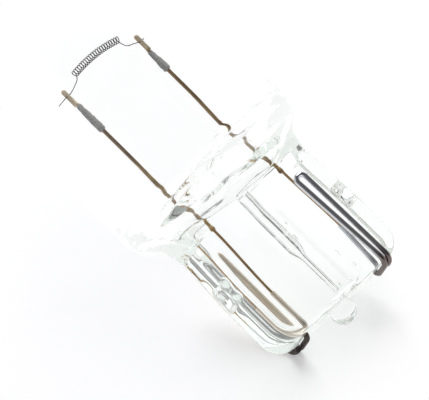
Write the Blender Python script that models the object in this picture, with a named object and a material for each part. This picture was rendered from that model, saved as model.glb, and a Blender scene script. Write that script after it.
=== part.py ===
"""Clear reversing lamp with a pressed glass wedge base and a single filament.

The lamp is modelled in its own axes: X runs across the wedge, -Y is the front face and Z runs
from the base end up to the dome. It is then laid on its back face, as it comes to rest on a
table, with the dome towards -X. Lengths are in metres.
"""

import math

import bmesh
import bpy
from mathutils import Matrix, Vector

MM = 0.001

# Envelope
ENVELOPE_DIAMETER = 20.2 * MM
ENVELOPE_WALL = 0.6 * MM
GLASS_LENGTH = 42.4 * MM  # base end to dome top, without the exhaust tip
SHOULDER_TOP = 18.0 * MM
SHOULDER_BREAK = 15.4 * MM  # height at which the flat shoulder stands out of the neck

# Pressed wedge base
BASE_HEIGHT = 12.05 * MM
BASE_WIDTH = 16.0 * MM
BASE_THICKNESS = 5.2 * MM
NECK_WIDTH = 15.4 * MM
WEB_THICKNESS = 4.0 * MM  # between the two rails
WEB_WIDTH = 5.0 * MM
WEB_SLOPE = 0.8 * MM
BARB_WIDTH = 16.8 * MM  # over the two barbs, where the holder's clips catch
BARB_FOOT = 5.9 * MM
BARB_PEAK = 6.4 * MM
NOTCH_WIDTH = 14.9 * MM  # between the notches above the barbs
NOTCH_HEIGHT = 8.0 * MM
NOTCH_RISE = 0.8 * MM
BARB_FLAT = 0.35  # the barb is full up to this share of half the thickness
BARB_END = 0.7  # and has run out at this one, so the faces' edges stay straight
SIDE_CORNER = 2.3 * MM
FACE_CORNER = 0.8 * MM  # where the flat faces turn into the narrow sides
END_EDGE = 0.6 * MM

# Hollow
HOLLOW_FLOOR = 13.3 * MM
NECK_WALL = 1.5 * MM
HOLLOW_SLOT = 1.9 * MM  # width of the hollow between the pressed walls
FLOOR_ROUND = 1.7 * MM
EXHAUST_BORE = 1.5 * MM
EXHAUST_PINCH = 0.6 * MM
PINCH_HEIGHT = 5.8 * MM
TIP_CLOSED_AT = 0.8 * MM
TIP_DIAMETER = 2.5 * MM
TIP_LENGTH = 1.9 * MM
TIP_SHIFT = -0.5 * MM  # the tip is melted off a little to the left

# Wires
CONTACT_WIRE = 0.55 * MM
CONTACT_OFFSET_FRONT = 5.55 * MM  # outer leg at the base end, from the middle of the base
CONTACT_OFFSET_BACK = 5.7 * MM
CONTACT_LEAN_FRONT = 0.2 * MM  # how much nearer the middle the outer leg stands at the top
CONTACT_LEAN_BACK = -0.4 * MM  # the back wire leans outwards
CONTACT_FOLD = 1.13 * MM  # between the centres of the two legs at the top
CONTACT_PINCH = 0.66 * MM  # between them at the base end
CONTACT_TOP = 11.25 * MM
CONTACT_TUCK = 1.7 * MM  # how far the free end reaches back under the base
SEAL_WIRE = 0.3 * MM
SEAL_BOTTOM = 5.3 * MM
SUPPORT_WIRE = 0.38 * MM
SUPPORT_FOOT = 12.45 * MM
SUPPORT_SPACING = 9.7 * MM
SUPPORT_SHIFT = 0.09 * MM  # the pair stands a little to the right of the base
SUPPORT_TOP_LEFT = 31.5 * MM
SUPPORT_TOP_RIGHT = 31.2 * MM
BEAD_SWELL = 1.35  # a weld bead's diameter, as a share of the wire's
CLEARANCE = 0.05 * MM

# Hooks
HOOK_LENGTH = 2.0 * MM
HOOK_WIDTH = 0.34 * MM
HOOK_LEAF = 0.13 * MM
HOOK_TAPER = 0.5 * MM

# Getter coats
GETTER_DIAMETER = 0.74 * MM
GETTER_GAP = 0.05 * MM  # below the end of the hook
GETTER_LENGTH_LEFT = 3.3 * MM
GETTER_LENGTH_RIGHT = 2.4 * MM

# Filament
FILAMENT_HEIGHT = 31.9 * MM
FILAMENT_LENGTH = 6.1 * MM
FILAMENT_SHIFT = 0.3 * MM  # the coil's middle, to the right of the middle of the supports
FILAMENT_ARCH = 0.3 * MM
COIL_DIAMETER = 0.72 * MM
COIL_WIRE = 0.09 * MM
COIL_TURNS = 27.5
FILAMENT_TAIL = 1.4 * MM  # free end past the left hook
FILAMENT_STUB = 0.3 * MM  # free end past the right hook
LEG_DROP = 0.75 * MM  # the clamped wire lies this far below the hook's top

# Fineness
RING_SIDES = 56
WIRE_SIDES = 8
COIL_SIDES = 5
COIL_STEPS = 10

DENSITY_GLASS = 2500.0
DENSITY_METAL = 8900.0

SIDES = {"left": -1, "right": 1}


def clear_scene():
    """Removes whatever the opened file holds."""
    for item in list(bpy.data.objects):
        bpy.data.objects.remove(item, do_unlink=True)


def make_material(name, colour, roughness, metallic, alpha=1.0):
    """A Principled material with a plain colour."""
    material = bpy.data.materials.new(name)
    material.use_nodes = True
    shader = material.node_tree.nodes["Principled BSDF"]
    shader.inputs["Base Color"].default_value = (*colour, 1.0)
    shader.inputs["Roughness"].default_value = roughness
    shader.inputs["Metallic"].default_value = metallic
    shader.inputs["Alpha"].default_value = alpha
    return material


def make_materials():
    """All finishes, by name."""
    return {
        "glass": make_material("glass", (0.90, 0.96, 0.92), 0.02, 0.0, 0.35),
        "contact": make_material("contact", (0.16, 0.16, 0.18), 0.22, 1.0),
        "support": make_material("support", (0.30, 0.19, 0.10), 0.40, 1.0),
        "seal": make_material("seal", (0.42, 0.22, 0.12), 0.35, 1.0),
        "getter": make_material("getter", (0.33, 0.33, 0.32), 0.90, 0.0),
        "filament": make_material("filament", (0.36, 0.35, 0.35), 0.35, 1.0),
    }


def add_object(name, mesh, material, parent):
    """Puts a mesh into the scene under the lamp's own axes."""
    piece = bpy.data.objects.new(name, mesh)
    bpy.context.collection.objects.link(piece)
    piece.parent = parent
    if material:
        mesh.materials.append(material)
    return piece


def smooth_step(value, low, high):
    """0 below low, 1 above high, with an even curve between."""
    share = min(max((value - low) / (high - low), 0.0), 1.0)
    return share * share * (3.0 - 2.0 * share)


def mix(first, second, share):
    """The value at a share of the way from first to second."""
    return first + (second - first) * share


def corner_drop(height, radius):
    """How far a rounded end edge draws the side in, at a height above the end."""
    if height >= radius:
        return 0.0
    return radius - math.sqrt(radius * radius - (radius - height) ** 2)


# Lofted shapes

def loft(name, sections):
    """A closed mesh through sections; a first or last section of one point is a pole."""
    body = bmesh.new()
    rings = [[body.verts.new(point) for point in section] for section in sections]
    for lower, upper in zip(rings, rings[1:]):
        bridge(body, lower, upper)
    for end in (rings[0], rings[-1]):
        if len(end) > 1:
            body.faces.new(end)
    bmesh.ops.recalc_face_normals(body, faces=body.faces)
    mesh = bpy.data.meshes.new(name)
    body.to_mesh(mesh)
    body.free()
    mesh.shade_smooth()
    mesh.set_sharp_from_angle(angle=math.radians(40.0))
    return mesh


def bridge(body, lower, upper):
    """Faces between two rings, or between a ring and a pole."""
    count = max(len(lower), len(upper))
    for index in range(count):
        after = (index + 1) % count
        if len(lower) == 1:
            body.faces.new((lower[0], upper[after], upper[index]))
        elif len(upper) == 1:
            body.faces.new((lower[index], lower[after], upper[0]))
        else:
            body.faces.new((lower[index], lower[after], upper[after], upper[index]))


def turned(name, profile, centre_x=0.0, sides=24):
    """A solid of revolution about an upright axis, from (radius, height) points."""
    sections = []
    for radius, height in profile:
        if radius == 0.0:
            sections.append([Vector((centre_x, 0.0, height))])
            continue
        angles = [2.0 * math.pi * step / sides for step in range(sides)]
        ring = [Vector((centre_x + radius * math.cos(a), radius * math.sin(a), height)) for a in angles]
        sections.append(ring)
    return loft(name, sections)


def fillet(corners, radii, steps=6):
    """A path through corner points, with each inner corner rounded to its own radius."""
    path = [corners[0]]
    for before, corner, after, radius in zip(corners, corners[1:], corners[2:], radii):
        back = (before - corner).normalized()
        ahead = (after - corner).normalized()
        half_angle = back.angle(ahead) / 2.0
        reach = radius / math.tan(half_angle)
        centre = corner + (back + ahead).normalized() * (radius / math.sin(half_angle))
        start = corner + back * reach - centre
        end = corner + ahead * reach - centre
        sweep_angle = start.angle(end)
        for step in range(steps + 1):
            share = step / steps
            first = start * math.sin((1.0 - share) * sweep_angle)
            second = end * math.sin(share * sweep_angle)
            path.append(centre + (first + second) / math.sin(sweep_angle))
    path.append(corners[-1])
    return path


def without_doubles(path):
    """The path without points that repeat the one before."""
    kept = [path[0]]
    for point in path[1:]:
        if (point - kept[-1]).length > 0.002 * MM:
            kept.append(point)
    return kept


def sweep(name, path, size_at, sides, across=Vector((1.0, 0.0, 0.0))):
    """A solid along a path; size_at(index) gives its half width along across and its half depth."""
    path = without_doubles(path)
    sections = []
    side = across
    for index, point in enumerate(path):
        before = path[max(index - 1, 0)]
        after = path[min(index + 1, len(path) - 1)]
        ahead = (after - before).normalized()
        side = (side - ahead * side.dot(ahead)).normalized()
        depth = ahead.cross(side)
        half_width, half_depth = size_at(point, index / (len(path) - 1))
        angles = [2.0 * math.pi * (step + 0.5) / sides for step in range(sides)]
        fit = 1.0 / math.cos(math.pi / sides)
        ring = [point + side * (half_width * fit * math.cos(a)) + depth * (half_depth * fit * math.sin(a))
                for a in angles]
        sections.append(ring)
    return loft(name, sections)


# Glass

def spread(points, count, corner):
    """Points spread along a line through the given points, closer together round its corners."""
    lengths = [0.0]
    heading = None
    for (x0, y0), (x1, y1) in zip(points, points[1:]):
        ahead = math.atan2(y1 - y0, x1 - x0)
        turn = abs(ahead - heading) if heading is not None else 0.0
        lengths.append(lengths[-1] + math.hypot(x1 - x0, y1 - y0) + turn * corner * 2.0)
        heading = ahead
    spaced = []
    cursor = 0
    for step in range(count):
        target = lengths[-1] * step / count
        while cursor < len(points) - 2 and lengths[cursor + 1] < target:
            cursor += 1
        share = (target - lengths[cursor]) / (lengths[cursor + 1] - lengths[cursor])
        (x0, y0), (x1, y1) = points[cursor], points[cursor + 1]
        spaced.append((mix(x0, x1, share), mix(y0, y1, share)))
    return spaced


def section(half_width, half_thick, corner, web_cut, height):
    """One section of the glass: a rounded bar with flat faces, and a web sunk between two rails."""
    corner = min(corner, half_width, half_thick)
    flat = half_width - corner
    wall = half_thick - corner
    rail = min(WEB_WIDTH / 2.0 + WEB_SLOPE, half_width * 0.66)
    web = rail * WEB_WIDTH / (WEB_WIDTH + 2.0 * WEB_SLOPE)
    last_turn = math.acos(min(max((rail - flat) / corner, 0.0), 1.0))
    fine = 40
    turns = [last_turn * step / fine for step in range(fine + 1)]
    curve = [(half_width, wall * step / 4) for step in range(4)] if wall > 0.0 else []
    curve += [(flat + corner * math.cos(t), wall + corner * math.sin(t)) for t in turns]
    if flat > rail:
        curve += [(mix(flat, rail, step / 8), half_thick) for step in range(1, 9)]
    quarter = spread(curve, RING_SIDES // 4 - 3, corner) + [curve[-1]]
    for x in (web, web / 2.0, 0.0):
        y = wall + math.sqrt(corner ** 2 - max(x - flat, 0.0) ** 2)
        quarter.append((x, half_thick - web_cut if web_cut > 0.0 else y))
    ring = [(x, y) for x, y in quarter[:-1]]
    ring += [(-x, y) for x, y in reversed(quarter[1:])]
    ring += [(-x, -y) for x, y in quarter[:-1]]
    ring += [(x, -y) for x, y in reversed(quarter[1:])]
    return [Vector((x, y, height)) for x, y in ring]


def shoulder_share(height, floor, top, break_at):
    """How far the thickness has grown from the pressed neck to the round envelope."""
    steepness = 7.5 / (top - floor)
    return 0.5 * (1.0 + math.tanh(steepness * (height - break_at)))


def glass_half_width(height):
    """Half the outer width at a height, up to the top of the shoulder, along the faces' edges."""
    width = mix(BASE_WIDTH, NECK_WIDTH, smooth_step(height, BARB_FOOT, BASE_HEIGHT))
    base = width / 2.0 - corner_drop(height, SIDE_CORNER)
    flare = smooth_step(height, BASE_HEIGHT, SHOULDER_TOP)
    return mix(base, ENVELOPE_DIAMETER / 2.0, flare)


def side_bulge(height):
    """How far the middle of a narrow side stands out at the barb, or in at the notch above it."""
    level = NOTCH_HEIGHT + NOTCH_RISE
    if height <= BARB_FOOT or height >= level:
        return 0.0
    peak = BARB_WIDTH / 2.0 - glass_half_width(BARB_PEAK)
    notch = NOTCH_WIDTH / 2.0 - glass_half_width(NOTCH_HEIGHT)
    if height <= BARB_PEAK:
        return peak * smooth_step(height, BARB_FOOT, BARB_PEAK)
    if height <= NOTCH_HEIGHT:
        return mix(peak, notch, (height - BARB_PEAK) / (NOTCH_HEIGHT - BARB_PEAK))
    return notch * (1.0 - smooth_step(height, NOTCH_HEIGHT, level))


def glass_half_thick(height):
    """Half the outer thickness at a height, up to the top of the shoulder."""
    base = BASE_THICKNESS / 2.0 - corner_drop(height, END_EDGE)
    if height <= BASE_HEIGHT:
        return base
    share = shoulder_share(height, BASE_HEIGHT, SHOULDER_TOP, SHOULDER_BREAK)
    if height >= SHOULDER_TOP:
        share = 1.0
    return mix(base, ENVELOPE_DIAMETER / 2.0, share)


def glass_corner(height):
    """Radius of a section's corners: small on the base, and half the thickness on a round section."""
    near_top = SHOULDER_TOP - (SHOULDER_TOP - BASE_HEIGHT) * 0.2
    return mix(FACE_CORNER, glass_half_thick(height), smooth_step(height, BASE_HEIGHT, near_top))


def spaced_heights(low, high, count):
    """Evenly spaced heights, with both ends."""
    return [mix(low, high, step / count) for step in range(count + 1)]


def glass_outside():
    """The outer form: wedge, shoulder, cylinder and dome."""
    heights = [0.0, END_EDGE * 0.13, END_EDGE * 0.5, END_EDGE, SIDE_CORNER * 0.5, SIDE_CORNER]
    heights += [BARB_FOOT, BARB_PEAK, NOTCH_HEIGHT, NOTCH_HEIGHT + NOTCH_RISE]
    heights += [BASE_HEIGHT - END_EDGE, BASE_HEIGHT]
    heights += spaced_heights(BASE_HEIGHT, SHOULDER_TOP, 14)[1:]
    sections = []
    web_depth = (BASE_THICKNESS - WEB_THICKNESS) / 2.0
    for height in heights:
        fade_low = smooth_step(height, 0.0, END_EDGE)
        fade_high = 1.0 - smooth_step(height, BASE_HEIGHT - END_EDGE, BASE_HEIGHT)
        cut = web_depth * min(fade_low, fade_high)
        half_thick = glass_half_thick(height)
        ring = section(glass_half_width(height), half_thick, glass_corner(height), cut, height)
        bulge = side_bulge(height)
        for point in ring:
            if abs(point.x) > BASE_WIDTH * 0.4:
                middle = 1.0 - smooth_step(abs(point.y), half_thick * BARB_FLAT, half_thick * BARB_END)
                point.x += math.copysign(bulge * middle, point.x)
        sections.append(ring)
    radius = ENVELOPE_DIAMETER / 2.0
    sections += dome_sections(radius, GLASS_LENGTH - radius)
    return loft("glass_bulb", sections)


def dome_sections(radius, centre_height):
    """Sections of the dome, from its equator to its pole."""
    steps = 10
    sections = []
    for step in range(steps):
        angle = 0.5 * math.pi * step / steps
        ring_radius = radius * math.cos(angle)
        height = centre_height + radius * math.sin(angle)
        sections.append(section(ring_radius, ring_radius, ring_radius, 0.0, height))
    sections.append([Vector((0.0, 0.0, centre_height + radius))])
    return sections


def hollow_form():
    """The space inside the envelope, down to the floor between the pressed walls."""
    round_top = HOLLOW_FLOOR + FLOOR_ROUND
    top = SHOULDER_TOP + ENVELOPE_WALL
    radius = ENVELOPE_DIAMETER / 2.0 - ENVELOPE_WALL
    break_at = SHOULDER_BREAK + ENVELOPE_WALL
    heights = [mix(HOLLOW_FLOOR, round_top, 1.0 - math.cos(0.5 * math.pi * step / 5)) for step in range(1, 6)]
    heights += spaced_heights(round_top, top, 10)[1:]
    sections = [[Vector((0.0, 0.0, HOLLOW_FLOOR))]]
    for height in heights:
        closing = 1.0
        if height < round_top:
            closing = math.sqrt(1.0 - ((round_top - height) / FLOOR_ROUND) ** 2)
        wall = mix(NECK_WALL, ENVELOPE_WALL, smooth_step(height, round_top, top))
        half_width = (glass_half_width(height) - wall) * closing
        share = shoulder_share(height, BASE_HEIGHT, SHOULDER_TOP, break_at)
        if height >= top:
            share = 1.0
        half_thick = mix(HOLLOW_SLOT / 2.0, radius, share) * closing
        sections.append(section(half_width, half_thick, half_thick, 0.0, height))
    sections += dome_sections(radius, GLASS_LENGTH - ENVELOPE_DIAMETER / 2.0)
    return loft("hollow_cutter", sections)


def exhaust_form():
    """The bore of the exhaust tube, pinched half way down and closed above the tip."""
    bore = EXHAUST_BORE / 2.0
    pinch = EXHAUST_PINCH / 2.0
    profile = [
        (0.0, TIP_CLOSED_AT),
        (pinch * 0.5, TIP_CLOSED_AT + pinch),
        (pinch, PINCH_HEIGHT - bore),
        (bore, PINCH_HEIGHT + bore),
        (bore, HOLLOW_FLOOR + FLOOR_ROUND / 2.0),
        (0.0, HOLLOW_FLOOR + FLOOR_ROUND / 2.0 + bore),
    ]
    return turned("exhaust_cutter", profile, sides=16)


def exhaust_tip():
    """The tipped-off end of the exhaust tube, below the base."""
    radius = TIP_DIAMETER / 2.0
    profile = [(0.0, END_EDGE), (radius, END_EDGE), (radius, -TIP_LENGTH + radius)]
    for step in range(1, 4):
        angle = 0.5 * math.pi * step / 4
        profile.append((radius * math.cos(angle), -TIP_LENGTH + radius * (1.0 - math.sin(angle))))
    profile.append((0.0, -TIP_LENGTH))
    return turned("tip_form", list(reversed(profile)), TIP_SHIFT, sides=16)


def lead_x(side):
    """Where a lead stands, from the middle of the base."""
    return side * SUPPORT_SPACING / 2.0 + SUPPORT_SHIFT


def lead_channel(side):
    """The channel that a lead fills in the pressed glass, from the hollow to the base end."""
    support = SUPPORT_WIRE / 2.0 * BEAD_SWELL + CLEARANCE
    seal = SEAL_WIRE / 2.0 + CLEARANCE
    contact = CONTACT_WIRE / 2.0 + CLEARANCE
    profile = [
        (0.0, -BASE_THICKNESS),
        (contact, -BASE_THICKNESS),
        (contact, SEAL_BOTTOM),
        (seal, SEAL_BOTTOM + CLEARANCE),
        (seal, SUPPORT_FOOT - CLEARANCE),
        (support, SUPPORT_FOOT),
        (support, HOLLOW_FLOOR + FLOOR_ROUND),
        (0.0, HOLLOW_FLOOR + FLOOR_ROUND),
    ]
    return turned("channel_cutter", profile, lead_x(side), sides=12)


def glass_bulb(materials, lamp):
    """Envelope and wedge base in one piece, with the hollow, the bore and the leads' channels."""
    bulb = add_object("glass_bulb", glass_outside(), materials["glass"], lamp)
    forms = [("UNION", exhaust_tip()), ("DIFFERENCE", hollow_form()), ("DIFFERENCE", exhaust_form())]
    forms += [("DIFFERENCE", lead_channel(side)) for side in SIDES.values()]
    for operation, mesh in forms:
        form = add_object(mesh.name, mesh, None, lamp)
        form.hide_render = True
        form.display_type = "WIRE"
        modifier = bulb.modifiers.new(mesh.name, "BOOLEAN")
        modifier.operation = operation
        modifier.solver = "EXACT"
        modifier.object = form
    return bulb


# Wires

def round_wire(diameter):
    """A size function for a wire of one diameter."""
    return lambda point, share: (diameter / 2.0, diameter / 2.0)


def contact_wire(name, side, materials, lamp):
    """Comes out of the base end, runs up one face, turns and runs back round the end."""
    radius = CONTACT_WIRE / 2.0
    below = -(radius + CLEARANCE)
    out = -side * (BASE_THICKNESS / 2.0 + CLEARANCE + radius)
    offset = CONTACT_OFFSET_FRONT if side > 0 else CONTACT_OFFSET_BACK
    lean = CONTACT_LEAN_FRONT if side > 0 else CONTACT_LEAN_BACK
    outer_low = side * offset
    outer_high = side * (offset - lean)
    inner_low = side * (offset - CONTACT_PINCH)
    inner_high = side * (offset - lean - CONTACT_FOLD)
    bend = END_EDGE + CLEARANCE + radius
    corners = [
        Vector((lead_x(side), 0.0, SEAL_BOTTOM - CLEARANCE)),
        Vector((lead_x(side), 0.0, below)),
        Vector((inner_low, out, below)),
        Vector((inner_high, out, CONTACT_TOP - radius)),
        Vector((outer_high, out, CONTACT_TOP - radius)),
        Vector((outer_low, out, below)),
        Vector((outer_low, out + side * CONTACT_TUCK, below)),
    ]
    turn = CONTACT_FOLD / 2.0 * 0.95
    radii = [radius * 1.2, bend, turn, turn, bend]
    return add_object(name, sweep(name, fillet(corners, radii), round_wire(CONTACT_WIRE), WIRE_SIDES),
                      materials["contact"], lamp)


def seal_wire(name, side, materials, lamp):
    """The thin copper-clad wire that makes the seal in the pressed glass."""
    path = [
        Vector((lead_x(side), 0.0, SEAL_BOTTOM + 2.0 * CLEARANCE)),
        Vector((lead_x(side), 0.0, SUPPORT_FOOT - 2.0 * CLEARANCE)),
    ]
    return add_object(name, sweep(name, path, round_wire(SEAL_WIRE), WIRE_SIDES), materials["seal"], lamp)


def support_top(side):
    """Height of a support's top."""
    return SUPPORT_TOP_RIGHT if side > 0 else SUPPORT_TOP_LEFT


def hook_gap():
    """Between the centres of a hook's two leaves, with the filament's wire between them."""
    return HOOK_LEAF + COIL_WIRE + 2.0 * CLEARANCE


def support_wire(name, side, materials, lamp):
    """Stands in the glass on a weld bead; its top is flattened and folded over the filament."""
    x = lead_x(side)
    top = support_top(side) - HOOK_LEAF / 2.0
    fold = -side * hook_gap()
    flat_from = support_top(side) - HOOK_LENGTH
    corners = [
        Vector((x, 0.0, SUPPORT_FOOT + CLEARANCE)),
        Vector((x, 0.0, top)),
        Vector((x, fold, top)),
        Vector((x, fold, flat_from)),
    ]
    radius = SUPPORT_WIRE / 2.0
    bead = [(0.0, 0.45), (0.3, 1.0), (0.9, 1.0), (1.3, 0.45)]
    turn = hook_gap() / 2.0 * 0.999
    path = fillet(corners, [turn, turn], 5)
    foot = [corners[0] + Vector((0.0, 0.0, radius * rise * 2.0)) for rise, _ in bead]
    shaft = [Vector((x, 0.0, flat_from + HOOK_TAPER * share)) for share in (0.0, 0.5, 1.0)]
    path = foot + shaft + path[1:]

    def size_at(point, share):
        rise = (point.z - corners[0].z) / (2.0 * radius)
        if rise <= bead[-1][0] + 0.01:
            swell = 1.0 + (BEAD_SWELL - 1.0) * math.sin(math.pi * min(rise / bead[-1][0], 1.0))
            if rise < 0.01:
                swell = 0.6
            return radius * swell, radius * swell
        flat = smooth_step(point.z, flat_from, flat_from + HOOK_TAPER)
        if abs(point.y) > hook_gap() / 4.0:
            flat = 1.0
        return mix(radius, HOOK_WIDTH / 2.0, flat), mix(radius, HOOK_LEAF / 2.0, flat)

    mesh = sweep(name, path, size_at, WIRE_SIDES)
    return add_object(name, mesh, materials["support"], lamp)


def getter_coat(name, side, length, materials, lamp):
    """A rough sleeve of getter paint round the support, just below its hook."""
    top = support_top(side) - HOOK_LENGTH - GETTER_GAP
    bore = SUPPORT_WIRE / 2.0 + CLEARANCE
    outer = GETTER_DIAMETER / 2.0
    profile = [
        (bore, top - length), (outer * 0.85, top - length), (outer, top - length * 0.88),
        (outer, top - length * 0.7), (outer * 0.92, top - length * 0.4),
        (outer * 0.78, top - length * 0.12), (mix(bore, outer, 0.25), top), (bore, top),
    ]
    sides = 14
    body = bmesh.new()
    rings = []
    for radius, height in profile:
        angles = [2.0 * math.pi * step / sides for step in range(sides)]
        rings.append([body.verts.new((lead_x(side) + radius * math.cos(a), radius * math.sin(a), height))
                      for a in angles])
    for lower, upper in zip(rings, rings[1:] + rings[:1]):
        bridge(body, lower, upper)
    bmesh.ops.recalc_face_normals(body, faces=body.faces)
    mesh = bpy.data.meshes.new(name)
    body.to_mesh(mesh)
    body.free()
    mesh.shade_smooth()
    mesh.set_sharp_from_angle(angle=math.radians(50.0))
    return add_object(name, mesh, materials["getter"], lamp)


# Filament

def coil_point(share, turn_angle):
    """A point of the coil's wire, share being how far along the coil it is."""
    radius = (COIL_DIAMETER - COIL_WIRE) / 2.0
    middle = SUPPORT_SHIFT + FILAMENT_SHIFT
    lean = 4.0 * FILAMENT_ARCH * (1.0 - 2.0 * share) / FILAMENT_LENGTH
    along = Vector((1.0, 0.0, lean)).normalized()
    out = Vector((-along.z, 0.0, along.x))
    centre = Vector((middle + FILAMENT_LENGTH * (share - 0.5), 0.0,
                     FILAMENT_HEIGHT + FILAMENT_ARCH * 4.0 * share * (1.0 - share)))
    side = Vector((0.0, 1.0, 0.0))
    return centre + out * (radius * math.cos(turn_angle)) + side * (radius * math.sin(turn_angle))


def filament_path():
    """Tail, left leg, coil, right leg and stub, as one wire."""
    steps = int(COIL_TURNS * COIL_STEPS)
    first_angle = -math.pi / 2.0
    coil = [coil_point(step / steps, first_angle + 2.0 * math.pi * step / COIL_STEPS) for step in range(steps + 1)]
    slot = hook_gap() / 2.0
    hook = HOOK_WIDTH / 2.0
    left_clamp = Vector((lead_x(-1), slot, SUPPORT_TOP_LEFT - LEG_DROP))
    right_clamp = Vector((lead_x(1), -slot, SUPPORT_TOP_RIGHT - LEG_DROP))
    rise = coil[0] - left_clamp
    fall = right_clamp - coil[-1]
    left = [
        left_clamp + Vector((-FILAMENT_TAIL, 0.0, -FILAMENT_TAIL * 0.15)),
        left_clamp + Vector((-hook, 0.0, 0.0)),
        left_clamp + Vector((hook, 0.0, 0.0)),
        left_clamp + Vector((rise.x * 0.34, 0.0, rise.z * 0.10)),
        left_clamp + Vector((rise.x * 0.72, rise.y * 0.7, rise.z * 0.38)),
        left_clamp + Vector((rise.x * 0.88, rise.y, rise.z * 0.62)),
    ]
    right = [
        coil[-1] + Vector((fall.x * 0.10, 0.0, fall.z * 0.35)),
        coil[-1] + Vector((fall.x * 0.22, fall.y * 0.3, fall.z * 0.66)),
        right_clamp + Vector((-hook - COIL_DIAMETER * 0.5, 0.0, COIL_DIAMETER * 0.2)),
        right_clamp + Vector((-hook, 0.0, 0.0)),
        right_clamp + Vector((hook, 0.0, 0.0)),
        right_clamp + Vector((hook + FILAMENT_STUB, 0.0, 0.0)),
    ]
    return rounded(left + coil[:1], 3) + coil[1:-1] + rounded(coil[-1:] + right, 3)


def rounded(points, steps):
    """A smooth curve through the points."""
    padded = [points[0] * 2.0 - points[1]] + points + [points[-1] * 2.0 - points[-2]]
    curve = []
    for p0, p1, p2, p3 in zip(padded, padded[1:], padded[2:], padded[3:]):
        for step in range(steps):
            t = step / steps
            term_a = p1 * 2.0 + (p2 - p0) * t
            term_b = (p0 * 2.0 - p1 * 5.0 + p2 * 4.0 - p3) * t * t
            term_c = (p1 * 3.0 - p0 - p2 * 3.0 + p3) * t * t * t
            curve.append((term_a + term_b + term_c) * 0.5)
    curve.append(points[-1])
    return curve


def filament(materials, lamp):
    """Tungsten wire wound into one arched coil, with its legs held in the hooks."""
    mesh = sweep("filament", filament_path(), round_wire(COIL_WIRE), COIL_SIDES, Vector((0.0, 0.0, 1.0)))
    return add_object("filament", mesh, materials["filament"], lamp)


# Rest

def evaluated_points(piece, depsgraph):
    """A piece's vertices in the lamp's own axes, and its faces as triples of indices."""
    mesh = piece.evaluated_get(depsgraph).to_mesh()
    mesh.calc_loop_triangles()
    points = [vertex.co.copy() for vertex in mesh.vertices]
    faces = [tuple(triangle.vertices) for triangle in mesh.loop_triangles]
    piece.evaluated_get(depsgraph).to_mesh_clear()
    return points, faces


def weight_and_centre(pieces, depsgraph):
    """The lamp's centre of mass, from each piece's volume and density."""
    total = 0.0
    moment = Vector((0.0, 0.0, 0.0))
    for piece in pieces:
        density = DENSITY_GLASS if piece.name == "glass_bulb" else DENSITY_METAL
        points, faces = evaluated_points(piece, depsgraph)
        for a, b, c in faces:
            weight = points[a].dot(points[b].cross(points[c])) / 6.0 * density
            total += weight
            moment += (points[a] + points[b] + points[c]) / 4.0 * weight
    return moment / total


def resting_direction(pieces, depsgraph):
    """Which way is down, in the lamp's own axes, when shoulder and back face lie on a table."""
    body = bmesh.new()
    for piece in pieces:
        for point in evaluated_points(piece, depsgraph)[0]:
            body.verts.new(point)
    hull = bmesh.ops.convex_hull(body, input=body.verts)
    faces = [face for face in hull["geom"] if isinstance(face, bmesh.types.BMFace)]
    bmesh.ops.recalc_face_normals(body, faces=faces)
    centre = weight_and_centre(pieces, depsgraph)
    best = None
    for face in faces:
        face.normal_update()
        foot = centre - face.normal * (centre - face.verts[0].co).dot(face.normal)
        corners = [vertex.co for vertex in face.verts]
        held = all(
            (after - before).cross(foot - before).dot(face.normal) >= 0.0
            for before, after in zip(corners, corners[1:] + corners[:1])
        )
        if held and (best is None or face.normal.y - face.normal.z > best.y - best.z):
            best = face.normal.copy()
    body.free()
    return best


def lay_down(lamp, pieces):
    """Turns the lamp onto its back face, dome towards -X, and centres it on the floor."""
    depsgraph = bpy.context.evaluated_depsgraph_get()
    down = resting_direction(pieces, depsgraph)
    dome = Vector((0.0, 0.0, 1.0))
    ahead = (dome - down * dome.dot(down)).normalized()
    across = ahead.cross(-down)
    own_axes = Matrix((-ahead, across, -down))
    lamp.matrix_world = own_axes.to_4x4()
    corners = [own_axes @ point for piece in pieces for point in evaluated_points(piece, depsgraph)[0]]
    low = [min(point[axis] for point in corners) for axis in range(3)]
    high = [max(point[axis] for point in corners) for axis in range(3)]
    lamp.location = (-(low[0] + high[0]) / 2.0, -(low[1] + high[1]) / 2.0, -low[2])
    bpy.context.view_layer.update()


def build():
    """Builds every piece and lays the lamp down."""
    clear_scene()
    materials = make_materials()
    lamp = bpy.data.objects.new("lamp_axis", None)
    bpy.context.collection.objects.link(lamp)
    pieces = [
        glass_bulb(materials, lamp),
        contact_wire("contact_wire_front", 1, materials, lamp),
        contact_wire("contact_wire_back", -1, materials, lamp),
        filament(materials, lamp),
    ]
    lengths = {"left": GETTER_LENGTH_LEFT, "right": GETTER_LENGTH_RIGHT}
    for word, side in SIDES.items():
        pieces.append(support_wire("support_wire_" + word, side, materials, lamp))
        pieces.append(seal_wire("seal_wire_" + word, side, materials, lamp))
        pieces.append(getter_coat("getter_coat_" + word, side, lengths[word], materials, lamp))
    bpy.context.view_layer.update()
    lay_down(lamp, pieces)


build()
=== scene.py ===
"""A clear reversing lamp with a pressed glass wedge base, lying on a pale table.

The lamp is built in its own axes, as its maker would draw it: X runs across the wedge, -Y is the
front face and Z runs from the base end up to the dome. Each finished piece is then laid down with
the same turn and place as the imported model, so that its mesh stands where its node stands.
"""
import logging
from dataclasses import dataclass, field
from enum import Enum
from math import acos, atan2, copysign, cos, hypot, pi, radians, sin, sqrt, tan, tanh
from typing import Any, Callable, Sequence

import bmesh
import bpy
from mathutils import Matrix, Vector, noise


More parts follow.
